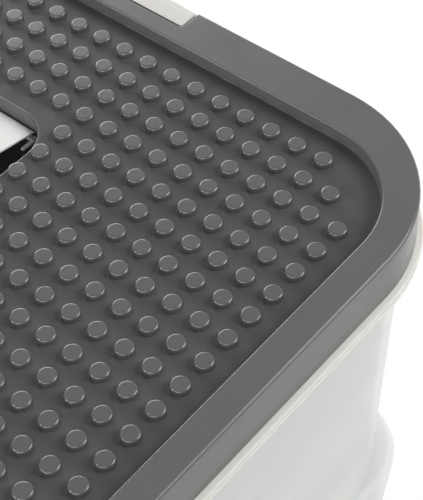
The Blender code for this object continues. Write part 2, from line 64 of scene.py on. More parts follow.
# Lights, each by its azimuth from +X towards +Y, elevation, distance, size and power
RIGHT_LIGHT = {"azimuth_deg": 40.0, "elevation_deg": 30.0, "distance": 1.2, "size": 0.8, "power": 13.4,
               "colour": (1.0, 0.99, 0.95)}
BACK_LIGHT = {"azimuth_deg": 142.0, "elevation_deg": 17.0, "distance": 1.2, "size": 0.8, "power": 12.0}
LEFT_LIGHT = {"azimuth_deg": 240.0, "elevation_deg": 22.0, "distance": 1.2, "size": 0.35, "power": 5.5}
FRONT_LIGHT = {"azimuth_deg": 280.0, "elevation_deg": 12.0, "distance": 1.2, "size": 0.5, "power": 6.0}
CAMERA_LIGHT = {"azimuth_deg": 306.0, "elevation_deg": 28.0, "distance": 1.2, "size": 0.6, "power": 3.6}
WORLD_LIGHT = 0.05

# Floor
FLOOR_HALF = 6.0
FLOOR_WHITE = 0.93            # share of plain white in the floor that the camera and the gloss see
FLOOR_PAPER = 0.95            # grey level of the floor's paper

# Lid rim, panel and plug
LID_CORNER = 0.038
SIDE_RIM = 0.008
END_RIM = 0.0124
RECESS_CORNER = 0.026
RECESS_DEPTH = 0.0038
RECESS_FILLET = 0.0001        # at the foot of the recess wall
RECESS_ROUNDING = 0.0005      # at the top of the recess wall
RIM_ROUNDING = 0.0009
SKIRT_ROUNDING = 0.0004
TOP_THICKNESS = 0.0022
SKIRT_HEIGHT = 0.0136
SKIRT_WALL = 0.002
PLUG_INSET = 0.0059
PLUG_WALL = 0.0024
PLUG_ROUNDING = 0.0003
GASKET_DEPTH = 0.0012
GASKET_PROUD = 0.0006         # stands out of the plug
GASKET_ROUNDING = 0.0003
SEAT_GAP = 0.0003             # between pieces that sit on each other

# Plastics: darkest and lightest colour, roughness and strength of the surface reflection
MOTTLE_SCALE = 55.0           # waves per metre of the colour
UNEVEN_SCALE = 120.0          # the same for the roughness
UNEVEN_SPREAD = 0.015         # roughness to each side of its middle
GRAIN_SCALE = 2400.0
GRAIN_DEPTH = 0.00001
GRAIN_STRENGTH = 0.3
COMMON_GLOSS = 0.5
LID_GREYS = ((0.097, 0.101, 0.0985), (0.107, 0.111, 0.109))
LID_ROUGHNESS = 0.24
LID_GLOSS = 0.35
STUD_GREYS = ((0.065, 0.069, 0.066), (0.072, 0.076, 0.073))
STUD_GLOSS = 0.6              # the studs shine more than the rest of the lid
PANEL_PAINTED_SHADE = 0.90            # painted shade: share of the lid's colour kept on the floor between the studs, where the studs shade it
PANEL_GLOSS = 0.1
PANEL_BAND = 0.0001           # height of the band in which that floor lies
PANEL_LEVEL = 0.95            # least upward lean of its faces

FLAP_WHITES = ((0.57, 0.57, 0.57), (0.61, 0.61, 0.61))
CLIP_WHITES = ((0.525, 0.515, 0.49), (0.57, 0.56, 0.54))
WHITE_ROUGHNESS = 0.40
SEAL_BLACKS = ((0.09, 0.09, 0.09), (0.11, 0.11, 0.11))
SEAL_ROUGHNESS = 0.62
TUB_WHITES = ((0.77, 0.775, 0.78), (0.81, 0.815, 0.815))
TUB_FLANGE_IVORY = (0.90, 0.89, 0.86, 1.0)
TUB_STREAK_SCALE = 60.0
TUB_STREAK_STRETCH = (0.3, 0.3, 1.0)
TUB_ROUGHNESS = 0.27
TUB_GLOW = 0.4                # share of light that the milky wall lets through, scattered
TUB_CLEAR = 0.35              # share of the wall that is plainly see-through

# Studs
STUD_PITCH = 0.008
STUD_DIAMETER = 0.0048
STUD_HEIGHT = 0.0018
STUD_ROOT = 0.0002
STUD_ROUNDING = 0.00065
STUD_SIDES = 28
STUD_WALL_GAP = 0.0068
STUD_HATCH_GAP = 0.003

# Hatch well and coaming
WELL_LENGTH = 0.0974
WELL_WIDTH = 0.0890
WELL_CORNER = 0.0105
WELL_DEPTH = 0.012
WELL_WALL = 0.002
WELL_ROUNDING = 0.0006
MOAT_SIDE = 0.0052
MOAT_FRONT = 0.0048
MOAT_HINGE = 0.0133
COAMING_WALL = 0.002
COAMING_CORNER = 0.010
COAMING_ROUNDING = 0.0004
THUMB_RADIUS = 0.012
HOOD_GAP = 0.0001             # hood on the back wall of the well to the flap's round back edge
HOOD_TOP_DROP = 0.0002        # panel to the top of the hood
HOOD_TIP_DROP = 0.0002        # hinge axis to the tip of the hood
HOOD_HEIGHT = 0.0018          # height of the sloped underside
HOOD_ROOT = 0.0002            # part of the hood inside the wall

# Hatch flap
FLAP_SIDE_GAP = 0.0059
FLAP_FRONT_GAP = 0.0012
FLAP_WALL_GAP = 0.00035       # flap's corners to the rounded corners of the well
FLAP_THICKNESS = 0.002
FLAP_ROUNDING = 0.00015
FLAP_EDGE = 0.0005            # height of the upright side edge
FLAP_UNDERCUT = 0.0014        # underside inside the side edge
FLAP_AJAR_DEG = 11.0
FLAP_RIB_INSET = 0.003        # rib under the flap, inside the hatch hole
FLAP_RIB_WIDTH = 0.0012
FLAP_RIB_HEIGHT = 0.0010
BARREL_RADIUS = 0.0012        # round back edge of the flap, about the hinge axis
TAB_INSET = 0.0001            # strip beside the flap's back corner, inside its side edge
TAB_WIDTH = 0.0010
TAB_FOOT_INSET = 0.0018       # foot of the strip under the flap, inside its side edge
TAB_FOOT_FRONT = 0.0006       # front of the foot in front of the hinge axis
TAB_THICKNESS = 0.0005
TAB_DROP = 0.0009             # hinge axis to the top of the tab
TAB_FRONT = 0.0042            # front end of the tab in front of the hinge axis
TAB_BACK = 0.0004             # back end of the tab behind the hinge axis
PIN_RADIUS = 0.0005
PIN_DEPTH = 0.004             # pin inside the flap
PIN_CLEARANCE = 0.0003
PIN_CHAMFER = 0.0003

# Tub
BODY_WALL = 0.002
FLANGE_OVERHANG = 0.0015
FLANGE_THICKNESS = 0.0027
FLANGE_ROUNDING = 0.0005
FLANGE_FILLET = 0.0008
FLANGE_GROOVE_RISE = 0.0009   # middle of the groove above the flange's lower face
FLANGE_GROOVE_WIDTH = 0.0005
FLANGE_GROOVE_DEPTH = 0.0005
NECK_INSET = 0.00295
NECK_DRAFT_DEG = 2.15
NECK_HEIGHT = 0.0959
SHOULDER_LEDGE = 0.0004
SHOULDER_RADIUS = 0.004
SHOULDER_INSET = 0.0048
SHOULDER_CORNER = 0.0204
WALL_DRAFT_DEG = 4.0
BASE_FILLET = 0.010
FOOT_WIDTH = 0.006            # ring that the tub stands on
FOOT_HEIGHT = 0.0008

# Clips
NOTCH_LENGTH = 0.1044
NOTCH_DEPTH = 0.0071
NOTCH_DROP = 0.005
NOTCH_CORNER = 0.0015
NOTCH_ROUNDING = 0.0004
LEDGE_THICKNESS = 0.003
LEDGE_FACE_INSET = 0.0023
CLIP_SIDE_GAP = 0.0008
CLIP_TIP_GAP = 0.0006
CLIP_HOOK_GAP = 0.0004
CLIP_TOP_DROP = 0.0004
CLIP_THICKNESS = 0.0024
CLIP_PROUD = 0.0022
CLIP_ROLL = 0.0045
CLIP_END_SWEEP = 0.008        # length over which the ends of the rolled top fall away
CLIP_END_FALL = 0.002
CLIP_ROUNDING = 0.0004
CLIP_FLANGE_GAP = 0.0006
KNUCKLE_RADIUS = 0.0026
CLIP_PIN_RADIUS = 0.00125
LUG_WIDTH = 0.0054
LUG_SIDE_GAP = 0.0005
LIP_REACH = 0.0024
LIP_HEIGHT = 0.0058
LIP_DROP = 0.0122
LIP_FLAT = 0.0015

# Fineness of the rounded shapes
CORNER_STEPS = 18
WELL_CORNER_STEPS = 12
ARC_STEPS = 8
EDGE_STEPS = 4
ROUND_SIDES = 32
SMALLEST_CORNER = 0.0004
CUT_MARGIN = 0.002
EDGE_OVERLAP = 0.00005        # a rounded cutter passes the face that it opens

# Places read from the frame
lid_low, lid_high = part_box("lid")
half_length = lid_high.x
half_width = lid_high.y
rim_z = lid_high.z
plug_z = lid_low.z
panel_z = rim_z - RECESS_DEPTH
panel_under_z = panel_z - TOP_THICKNESS
rim_under_z = rim_z - TOP_THICKNESS
skirt_z = rim_z - SKIRT_HEIGHT
ledge_z = rim_z - NOTCH_DROP
well_floor_z = panel_z - WELL_DEPTH
coaming_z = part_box("hatch_gasket")[0].z - SEAT_GAP
groove_inset = PLUG_INSET - GASKET_PROUD + GASKET_DEPTH + SEAT_GAP
joint_places = {joint["name"]: joint.get("pos_m") for joint in frame["joints"]}
hinge_y = joint_places["hatch_hinge"][1]
hinge_z = joint_places["hatch_hinge"][2]
clip_pivot_y = joint_places["back_clip_swing"][1]
clip_pivot_z = joint_places["back_clip_swing"][2]
clip_length = rim_z - clip_pivot_z
clip_inner = CLIP_PROUD - CLIP_THICKNESS
clip_pivot_out = clip_pivot_y - half_width
clip_half = NOTCH_LENGTH / 2 - CLIP_SIDE_GAP
flap_half = WELL_LENGTH / 2 - FLAP_SIDE_GAP
flap_under = BARREL_RADIUS - FLAP_THICKNESS

hole_half_x = WELL_LENGTH / 2 - MOAT_SIDE - COAMING_WALL
hole_front = -WELL_WIDTH / 2 + MOAT_FRONT + COAMING_WALL
hole_back = WELL_WIDTH / 2 - MOAT_HINGE - COAMING_WALL
hole_y = (hole_front + hole_back) / 2
hole_half_y = (hole_back - hole_front) / 2

tub_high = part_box("tub")[1]
flange_z = tub_high.z
neck_z = flange_z - FLANGE_THICKNESS
shoulder_z = neck_z - NECK_HEIGHT


# Shapes

def arc(centre, radius, start_deg, end_deg, steps):
    """Points of an arc, both ends included."""
    points = []
    for step in range(steps + 1):
        angle = math.radians(start_deg + (end_deg - start_deg) * step / steps)
        points.append((centre[0] + radius * math.cos(angle), centre[1] + radius * math.sin(angle)))
    return points


def plan(half_x, half_y, corner, steps, centre_y=0.0):
    """Points of a rounded rectangle seen from above, anticlockwise."""
    corner = max(corner, SMALLEST_CORNER)
    points = []
    for quarter, (side_x, side_y) in enumerate(((1, 1), (-1, 1), (-1, -1), (1, -1))):
        centre = (side_x * (half_x - corner), side_y * (half_y - corner) + centre_y)
        points += arc(centre, corner, quarter * 90, quarter * 90 + 90, steps)
    return points


def at_height(points, z):
    return [Vector((x, y, z)) for x, y in points]


def lid_ring(inset, z):
    """The lid's outline drawn in by an inset, at a height."""
    return at_height(plan(half_length - inset, half_width - inset, LID_CORNER - inset, CORNER_STEPS), z)


def recess_ring(grow, z):
    """The outline of the recess in the lid's top, grown by a width, at a height."""
    half_x = half_length - SIDE_RIM + grow
    half_y = half_width - END_RIM + grow
    return at_height(plan(half_x, half_y, RECESS_CORNER + grow, CORNER_STEPS), z)


def hole_ring(grow, z):
    """The outline of the hatch hole, grown by a width, at a height."""
    corner = COAMING_CORNER - COAMING_WALL + grow
    return at_height(plan(hole_half_x + grow, hole_half_y + grow, corner, WELL_CORNER_STEPS, hole_y), z)


def well_ring(grow, z):
    """The outline of the hatch well with its thumb notch, grown by a width, at a height."""
    points = plan(WELL_LENGTH / 2 + grow, WELL_WIDTH / 2 + grow, WELL_CORNER + grow, WELL_CORNER_STEPS)
    radius = THUMB_RADIUS + grow
    reach = math.degrees(math.acos(grow / radius))
    thumb = arc((0.0, -WELL_WIDTH / 2), radius, -90 - reach, -90 + reach, 2 * WELL_CORNER_STEPS)
    front_left = 3 * (WELL_CORNER_STEPS + 1)
    return at_height(points[:front_left] + thumb + points[front_left:], z)


def loft(rings, closed=False):
    """Skin a row of rings. An open row gets a cap at each end, a closed one meets itself."""
    bm = bmesh.new()
    rows = [[bm.verts.new(point) for point in points] for points in rings]
    count = len(rows[0])
    pairs = list(zip(rows, rows[1:]))
    if closed:
        pairs.append((rows[-1], rows[0]))
    for low, high in pairs:
        for i in range(count):
            j = (i + 1) % count
            bm.faces.new((low[i], low[j], high[j], high[i]))
    if not closed:
        bm.faces.new(rows[0])
        bm.faces.new(rows[-1])
    return bm


def opening(ring_at, low_z, edge_z, rounding):
    """A cutter whose mouth flares, so that the edge it leaves is rounded."""
    rings = [ring_at(0.0, low_z)]
    for out, up in arc((rounding, edge_z - rounding), rounding, 180, 100, EDGE_STEPS):
        rings.append(ring_at(out, up))
    rings.append(ring_at(rounding + EDGE_OVERLAP, edge_z + EDGE_OVERLAP))
    rings.append(ring_at(rounding + EDGE_OVERLAP, edge_z + CUT_MARGIN))
    return loft(rings)


def add_box(bm, low, high):
    low = Vector(low)
    high = Vector(high)
    size = Matrix.Diagonal((*(high - low), 1.0))
    bmesh.ops.create_cube(bm, size=1.0, matrix=Matrix.Translation((low + high) / 2) @ size)


def add_bar(bm, radius, x_from, x_to, y, z, chamfer=0.0):
    """Add a round bar that runs along X, with its ends chamfered."""
    side = 1 if x_to > x_from else -1
    profile = [(x_from, radius - chamfer), (x_from + side * chamfer, radius)]
    profile += [(x_to - side * chamfer, radius), (x_to, radius - chamfer)]
    rows = []
    for x, reach in profile:
        turn = arc((y, z), reach, 0, 360 - 360 / ROUND_SIDES, ROUND_SIDES - 1)
        rows.append([bm.verts.new((x, py, pz)) for py, pz in turn])
    for low, high in zip(rows, rows[1:]):
        for i in range(ROUND_SIDES):
            j = (i + 1) % ROUND_SIDES
            bm.faces.new((low[i], low[j], high[j], high[i]))
    bm.faces.new(rows[0])
    bm.faces.new(rows[-1])
    if chamfer == 0.0:
        bmesh.ops.remove_doubles(bm, verts=bm.verts, dist=1e-7)


def both_ends(bm):
    """Add a copy turned half round Z, so that the back gets a twin at the front."""
    copied = bmesh.ops.duplicate(bm, geom=bm.verts[:] + bm.edges[:] + bm.faces[:])["geom"]
    turned = [item for item in copied if isinstance(item, bmesh.types.BMVert)]
    bmesh.ops.rotate(bm, verts=turned, cent=(0.0, 0.0, 0.0), matrix=Matrix.Rotation(math.pi, 3, "Z"))
    return bm


def edge_distance(x, y, half_x, half_y, radius):
    """Distance from a point to a rounded rectangle, negative inside it."""
    reach_x = abs(x) - (half_x - radius)
    reach_y = abs(y) - (half_y - radius)
    outside = math.hypot(max(reach_x, 0.0), max(reach_y, 0.0))
    return outside + min(max(reach_x, reach_y), 0.0) - radius


def make_object(name, bm):
    bmesh.ops.recalc_face_normals(bm, faces=bm.faces)
    mesh = bpy.data.meshes.new(name)
    bm.to_mesh(mesh)
    bm.free()
    made = bpy.data.objects.new(name, mesh)
    bpy.context.scene.collection.objects.link(made)
    return made


def carve(obj, steps):
    """Join or cut a row of shapes, and keep the result as the object's mesh."""
    operands = []
    for bm, operation in steps:
        operand = make_object("operand", bm)
        modifier = obj.modifiers.new("carve", "BOOLEAN")
        modifier.operation = operation
        modifier.solver = "EXACT"
        modifier.object = operand
        operands.append(operand)
    settle(obj)
    for operand in operands:
        bpy.data.objects.remove(operand, do_unlink=True)


def settle(obj):
    """Keep what the modifiers make as the object's mesh."""
    bpy.context.view_layer.update()
    evaluated = obj.evaluated_get(bpy.context.evaluated_depsgraph_get())
    old = obj.data
    obj.data = bpy.data.meshes.new_from_object(evaluated)
    obj.modifiers.clear()
    bpy.data.meshes.remove(old)


def round_edges(obj, width):
    """Round the sharp edges of an object."""
    edges = obj.modifiers.new("edges", "BEVEL")
    edges.width = width
    edges.segments = 3
    edges.limit_method = "ANGLE"
    edges.angle_limit = math.radians(40)
    settle(obj)


def dress(obj, material, body, nodes=(), sharp_deg=35):
    """Smooth a piece, paint it and hang it on its body."""
    obj.data.shade_smooth()
    obj.data.set_sharp_from_angle(angle=math.radians(sharp_deg))
    normals = obj.modifiers.new("normals", "WEIGHTED_NORMAL")
    normals.keep_sharp = True
    obj.data.materials.clear()
    obj.data.materials.append(material)
    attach(obj, body)
    if nodes:
        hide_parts(*nodes)
    return obj


# Materials

def start_material(name):
    material = bpy.data.materials.new(name)
    material.use_nodes = True
    tree = material.node_tree
    shader = tree.nodes["Principled BSDF"]
    place = tree.nodes.new("ShaderNodeTexCoord").outputs["Object"]
    return material, tree, shader, place


def add_noise(tree, place, scale, detail, stretch=(1.0, 1.0, 1.0)):
    """A noise pattern, with its scale in waves per metre, drawn out along the axes."""
    mapping = tree.nodes.new("ShaderNodeMapping")
    mapping.inputs["Scale"].default_value = stretch
    tree.links.new(place, mapping.inputs["Vector"])
    noise = tree.nodes.new("ShaderNodeTexNoise")
    noise.inputs["Scale"].default_value = scale
    noise.inputs["Detail"].default_value = detail
    tree.links.new(mapping.outputs["Vector"], noise.inputs["Vector"])
    return noise.outputs["Fac"]


def add_range(tree, value, low, high):
    """Spread the middle of a value's run from 0 to 1 over a range."""
    spread = tree.nodes.new("ShaderNodeMapRange")
    spread.inputs["From Min"].default_value = 0.3
    spread.inputs["From Max"].default_value = 0.7
    spread.inputs["To Min"].default_value = low
    spread.inputs["To Max"].default_value = high
    tree.links.new(value, spread.inputs["Value"])
    return spread.outputs["Result"]


def add_colours(tree, value, dark, light):
    """Turn a noise value into a colour between two."""
    ramp = tree.nodes.new("ShaderNodeValToRGB")
    ramp.color_ramp.elements[0].position = 0.3
    ramp.color_ramp.elements[0].color = (*dark, 1.0)
    ramp.color_ramp.elements[1].position = 0.7
    ramp.color_ramp.elements[1].color = (*light, 1.0)
    tree.links.new(value, ramp.inputs["Fac"])
    return ramp.outputs["Color"]


def add_bump(tree, shader, value, distance, strength):
    bump = tree.nodes.new("ShaderNodeBump")
    bump.inputs["Distance"].default_value = distance
    bump.inputs["Strength"].default_value = strength
    tree.links.new(value, bump.inputs["Height"])
    tree.links.new(bump.outputs["Normal"], shader.inputs["Normal"])


def add_mix(tree, share, first, second):
    """Mix a share of a second shader into a first."""
    mix = tree.nodes.new("ShaderNodeMixShader")
    mix.inputs["Fac"].default_value = share
    tree.links.new(first, mix.inputs[1])
    tree.links.new(second, mix.inputs[2])
    return mix.outputs["Shader"]


def add_math(tree, operation, first, second):
    """An arithmetic node on a socket and a number or a second socket."""
    node = tree.nodes.new("ShaderNodeMath")
    node.operation = operation
    tree.links.new(first, node.inputs[0])
    if isinstance(second, float):
        node.inputs[1].default_value = second
    else:
        tree.links.new(second, node.inputs[1])
    return node.outputs["Value"]


def find_panel(tree, place):
    """1 on the level floor between the studs, 0 elsewhere."""
    split = tree.nodes.new("ShaderNodeSeparateXYZ")
    tree.links.new(place, split.inputs["Vector"])
    facing = tree.nodes.new("ShaderNodeSeparateXYZ")
    geometry = tree.nodes.new("ShaderNodeNewGeometry")
    tree.links.new(geometry.outputs["True Normal"], facing.inputs["Vector"])
    offset = add_math(tree, "SUBTRACT", split.outputs["Z"], panel_z)
    near = add_math(tree, "LESS_THAN", add_math(tree, "ABSOLUTE", offset, 0.0), PANEL_BAND)
    level = add_math(tree, "GREATER_THAN", facing.outputs["Z"], PANEL_LEVEL)
    return add_math(tree, "MULTIPLY", near, level)


def paint_panel_shade(tree, panel, colours):
    """Paint shade on the floor between the studs: darken its colour where the studs shade it."""
    shaded = tree.nodes.new("ShaderNodeMix")
    shaded.data_type = "RGBA"
    shaded.blend_type = "MULTIPLY"
    tree.links.new(panel, shaded.inputs["Factor"])
    tree.links.new(colours, shaded.inputs["A"])
    shaded.inputs["B"].default_value = (PANEL_PAINTED_SHADE, PANEL_PAINTED_SHADE, PANEL_PAINTED_SHADE, 1.0)
    return shaded.outputs["Result"]


def moulded_plastic(name, dark, light, roughness, gloss=COMMON_GLOSS, matt_panel_and_painted_shade=False):
    """Opaque moulded plastic with faint mottling, uneven gloss and a fine grain."""
    material, tree, shader, place = start_material(name)
    colours = add_colours(tree, add_noise(tree, place, MOTTLE_SCALE, 3.0), dark, light)
    shader.inputs["Specular IOR Level"].default_value = gloss
    if matt_panel_and_painted_shade:
        # painted shade on the floor between the studs, with less gloss there
        panel = find_panel(tree, place)
        colours = paint_panel_shade(tree, panel, colours)
        tree.links.new(add_range(tree, panel, gloss, PANEL_GLOSS), shader.inputs["Specular IOR Level"])
    tree.links.new(colours, shader.inputs["Base Color"])
    patches = add_noise(tree, place, UNEVEN_SCALE, 0.0)
    uneven = add_range(tree, patches, roughness - UNEVEN_SPREAD, roughness + UNEVEN_SPREAD)
    tree.links.new(uneven, shader.inputs["Roughness"])
    add_bump(tree, shader, add_noise(tree, place, GRAIN_SCALE, 2.0), GRAIN_DEPTH, GRAIN_STRENGTH)
    return material


def clear_plastic():
    """Milky natural plastic, partly see-through, with soft level streaks and a whiter thick flange."""
    material, tree, shader, place = start_material("tub_clear_plastic")
    streaks = add_noise(tree, place, TUB_STREAK_SCALE, 0.0, TUB_STREAK_STRETCH)
    wall = add_colours(tree, streaks, *TUB_WHITES)
    height = tree.nodes.new("ShaderNodeSeparateXYZ")
    tree.links.new(place, height.inputs["Vector"])
    thick = tree.nodes.new("ShaderNodeMapRange")
    thick.inputs["From Min"].default_value = neck_z - FLANGE_FILLET
    thick.inputs["From Max"].default_value = neck_z
    tree.links.new(height.outputs["Z"], thick.inputs["Value"])
    colours = tree.nodes.new("ShaderNodeMix")
    colours.data_type = "RGBA"
    tree.links.new(thick.outputs["Result"], colours.inputs["Factor"])
    tree.links.new(wall, colours.inputs["A"])
    colours.inputs["B"].default_value = TUB_FLANGE_IVORY
    tree.links.new(colours.outputs["Result"], shader.inputs["Base Color"])
    shader.inputs["Roughness"].default_value = TUB_ROUGHNESS
    glow = tree.nodes.new("ShaderNodeBsdfTranslucent")
    tree.links.new(colours.outputs["Result"], glow.inputs["Color"])
    milky = add_mix(tree, TUB_GLOW, shader.outputs["BSDF"], glow.outputs["BSDF"])
    clear = tree.nodes.new("ShaderNodeBsdfTransparent")
    surface = add_mix(tree, TUB_CLEAR, milky, clear.outputs["BSDF"])
    tree.links.new(surface, tree.nodes["Material Output"].inputs["Surface"])
    return material


def drawn_steel():
    """Wire drawn along X."""
    material, tree, shader, place = start_material("pin_steel")
    lines = add_noise(tree, place, 900.0, 3.0, (0.03, 1.0, 1.0))
    colours = add_colours(tree, lines, (0.46, 0.46, 0.46), (0.62, 0.62, 0.61))
    tree.links.new(colours, shader.inputs["Base Color"])
    tree.links.new(add_range(tree, lines, 0.28, 0.42), shader.inputs["Roughness"])
    shader.inputs["Metallic"].default_value = 1.0
    add_bump(tree, shader, lines, GRAIN_DEPTH, GRAIN_STRENGTH)
    return material


grey_plastic = moulded_plastic("lid_grey_plastic", *LID_GREYS, LID_ROUGHNESS, LID_GLOSS, matt_panel_and_painted_shade=True)
stud_plastic = moulded_plastic("stud_grey_plastic", *STUD_GREYS, LID_ROUGHNESS, STUD_GLOSS)
white_plastic = moulded_plastic("flap_white_plastic", *FLAP_WHITES, WHITE_ROUGHNESS)
milky_plastic = moulded_plastic("clip_milky_plastic", *CLIP_WHITES, WHITE_ROUGHNESS)
seal_rubber = moulded_plastic("seal_silicone", *SEAL_BLACKS, SEAL_ROUGHNESS)
tub_plastic = clear_plastic()
pin_steel = drawn_steel()


# Lid

def make_lid():
    rings = []
    for out, up in arc((-RECESS_FILLET, panel_z + RECESS_FILLET), RECESS_FILLET, -90, 0, EDGE_STEPS):
        rings.append(recess_ring(out, up))
    for out, up in arc((RECESS_ROUNDING, rim_z - RECESS_ROUNDING), RECESS_ROUNDING, 180, 90, EDGE_STEPS):
        rings.append(recess_ring(out, up))
    for out, up in arc((-RIM_ROUNDING, rim_z - RIM_ROUNDING), RIM_ROUNDING, 90, 0, ARC_STEPS):
        rings.append(lid_ring(-out, up))
    for out, up in arc((-SKIRT_ROUNDING, skirt_z + SKIRT_ROUNDING), SKIRT_ROUNDING, 0, -90, EDGE_STEPS):
        rings.append(lid_ring(-out, up))
    gasket_low, gasket_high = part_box("lid_gasket")
    underside = [
        (SKIRT_WALL, skirt_z), (SKIRT_WALL, rim_under_z), (PLUG_INSET, rim_under_z),
        (PLUG_INSET, gasket_high.z + SEAT_GAP), (groove_inset, gasket_high.z + SEAT_GAP),
        (groove_inset, gasket_low.z - SEAT_GAP), (PLUG_INSET, gasket_low.z - SEAT_GAP),
        (PLUG_INSET, plug_z + PLUG_ROUNDING), (PLUG_INSET + PLUG_ROUNDING, plug_z),
        (PLUG_INSET + PLUG_WALL, plug_z), (PLUG_INSET + PLUG_WALL, panel_under_z),
    ]
    rings += [lid_ring(inset, z) for inset, z in underside]
    lid = make_object("lid_shell", loft(rings))
    carve(lid, [
        (well_outside(), "UNION"),
        (hook_ledges(), "UNION"),
        (opening(well_ring, well_floor_z, panel_z, WELL_ROUNDING), "DIFFERENCE"),
        (hatch_hole(), "DIFFERENCE"),
        (coaming(), "UNION"),
        (well_hood(), "UNION"),
        (hook_notches(), "DIFFERENCE"),
        (skirt_gaps(), "DIFFERENCE"),
        (hatch_pin_bores(), "DIFFERENCE"),
    ])
    dress(lid, grey_plastic, "lid", ("lid",))


def well_outside():
    top = panel_under_z + TOP_THICKNESS / 2
    return loft([well_ring(WELL_WALL, z) for z in (well_floor_z - WELL_WALL, top)])


def hatch_hole():
    """Taken out to the middle of the coaming's wall, which then closes it."""
    low = well_floor_z - WELL_WALL - CUT_MARGIN
    return loft([hole_ring(COAMING_WALL / 2, z) for z in (low, well_floor_z + CUT_MARGIN)])


def coaming():
    """A rounded ring wall round the hatch hole."""
    bottom = well_floor_z - WELL_WALL + EDGE_OVERLAP
    edge_z = coaming_z - COAMING_ROUNDING
    outer = COAMING_WALL - COAMING_ROUNDING
    section = arc((COAMING_ROUNDING, edge_z), COAMING_ROUNDING, 180, 90, EDGE_STEPS)
    section += arc((outer, edge_z), COAMING_ROUNDING, 90, 0, EDGE_STEPS)
    section += [(COAMING_WALL, bottom), (0.0, bottom)]
    return loft([hole_ring(out, z) for out, z in section], closed=True)


def well_hood():
    """A sloped hood on the back wall of the well, close to the flap, whose ends run into the corners."""
    wall_y = WELL_WIDTH / 2
    root_y = wall_y + WELL_WALL / 2
    tip_y = hinge_y + BARREL_RADIUS + HOOD_GAP
    top_z = panel_z - HOOD_TOP_DROP
    tip_z = hinge_z - HOOD_TIP_DROP
    outline = [(root_y, top_z), (wall_y + HOOD_ROOT, top_z), (tip_y, tip_z), (root_y, tip_z - HOOD_HEIGHT)]
    rise = tip_y - wall_y + WELL_CORNER
    end = WELL_LENGTH / 2 - WELL_CORNER + math.sqrt(WELL_CORNER ** 2 - rise ** 2) + HOOD_ROOT
    bm = bmesh.new()
    add_prism(bm, outline, -end, end)
    return bm


def hook_ledges():
    side = NOTCH_LENGTH / 2 + SKIRT_WALL
    bm = bmesh.new()
    add_box(
        bm,
        (-side, half_width - PLUG_INSET - PLUG_WALL / 2, ledge_z - LEDGE_THICKNESS),
        (side, half_width - LEDGE_FACE_INSET, rim_under_z + TOP_THICKNESS / 2),
    )
    return both_ends(bm)


def hook_notches():
    deep = NOTCH_DEPTH + CUT_MARGIN
    centre_y = half_width - NOTCH_DEPTH + deep

    def notch_ring(grow, z):
        half_x = NOTCH_LENGTH / 2 + grow
        return at_height(plan(half_x, deep + grow, NOTCH_CORNER + grow, WELL_CORNER_STEPS, centre_y), z)

    return both_ends(opening(notch_ring, ledge_z, rim_z, NOTCH_ROUNDING))


def skirt_gaps():
    bm = bmesh.new()
    add_box(
        bm,
        (-NOTCH_LENGTH / 2, half_width - LEDGE_FACE_INSET, skirt_z - CUT_MARGIN),
        (NOTCH_LENGTH / 2, half_width + CUT_MARGIN, ledge_z + CUT_MARGIN),
    )
    return both_ends(bm)


def hatch_pin_bores():
    bm = bmesh.new()
    reach = WELL_LENGTH / 2 + WELL_WALL + CUT_MARGIN
    add_bar(bm, PIN_RADIUS + PIN_CLEARANCE, -reach, reach, hinge_y, hinge_z)
    return bm


def stud_places():
    recess_x = half_length - SIDE_RIM
    recess_y = half_width - END_RIM
    columns = math.floor(2 * recess_x / STUD_PITCH + 1e-6) - 1
    rows = math.floor(2 * recess_y / STUD_PITCH + 1e-6) - 1
    places = []
    for column in range(columns):
        for row in range(rows):
            x = (column - (columns - 1) / 2) * STUD_PITCH
            y = (row - (rows - 1) / 2) * STUD_PITCH
            wall = -edge_distance(x, y, recess_x, recess_y, RECESS_CORNER)
            well = edge_distance(x, y, WELL_LENGTH / 2, WELL_WIDTH / 2, WELL_CORNER)
            thumb = math.hypot(x, y + WELL_WIDTH / 2) - THUMB_RADIUS
            if wall >= STUD_WALL_GAP and min(well, thumb) >= STUD_HATCH_GAP:
                places.append((x, y))
    return places


def make_studs():
    """Round studs with a rounded top edge."""
    radius = STUD_DIAMETER / 2
    profile = [(radius, -STUD_ROOT)]
    top = (radius - STUD_ROUNDING, STUD_HEIGHT - STUD_ROUNDING)
    profile += arc(top, STUD_ROUNDING, 0, 90, EDGE_STEPS)
    turn = [(math.cos(angle), math.sin(angle)) for angle in
            (2 * math.pi * side / STUD_SIDES for side in range(STUD_SIDES))]
    bm = bmesh.new()
    for x, y in stud_places():
        rows = []
        for reach, up in profile:
            rows.append([bm.verts.new((x + reach * c, y + reach * s, panel_z + up)) for c, s in turn])
        for low, high in zip(rows, rows[1:]):
            for i in range(STUD_SIDES):
                j = (i + 1) % STUD_SIDES
                bm.faces.new((low[i], low[j], high[j], high[i]))
        bm.faces.new(rows[0])
        bm.faces.new(rows[-1])
    dress(make_object("lid_studs", bm), stud_plastic, "lid", sharp_deg=60)


def make_seals():
    """The ring round the lid's plug and the ring on the hatch coaming, both with rounded edges."""
    low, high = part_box("lid_gasket")
    outer = half_length - high.x
    inner = outer + GASKET_DEPTH
    edge = GASKET_ROUNDING
    section = [(outer, low.z + edge), (outer, high.z - edge), (outer + edge, high.z)]
    section += [(inner, high.z), (inner, low.z), (outer + edge, low.z)]
    ring_seal = make_object("lid_seal", loft([lid_ring(inset, z) for inset, z in section], closed=True))
    dress(ring_seal, seal_rubber, "lid", ("lid_gasket",), sharp_deg=60)
    low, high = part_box("hatch_gasket")
    bead = (high.z - low.z) / 2
    section = [(0.0, low.z), (0.0, high.z - bead)]
    section += reversed(arc((COAMING_WALL / 2, high.z - bead), COAMING_WALL / 2, 15, 165, ARC_STEPS))
    section += [(COAMING_WALL, high.z - bead), (COAMING_WALL, low.z)]
    rings = [hole_ring(out, min(z, high.z)) for out, z in section]
    hatch_seal = make_object("hatch_seal", loft(rings, closed=True))
    dress(hatch_seal, seal_rubber, "lid", ("hatch_gasket",), sharp_deg=60)


# Hatch flap and its pins

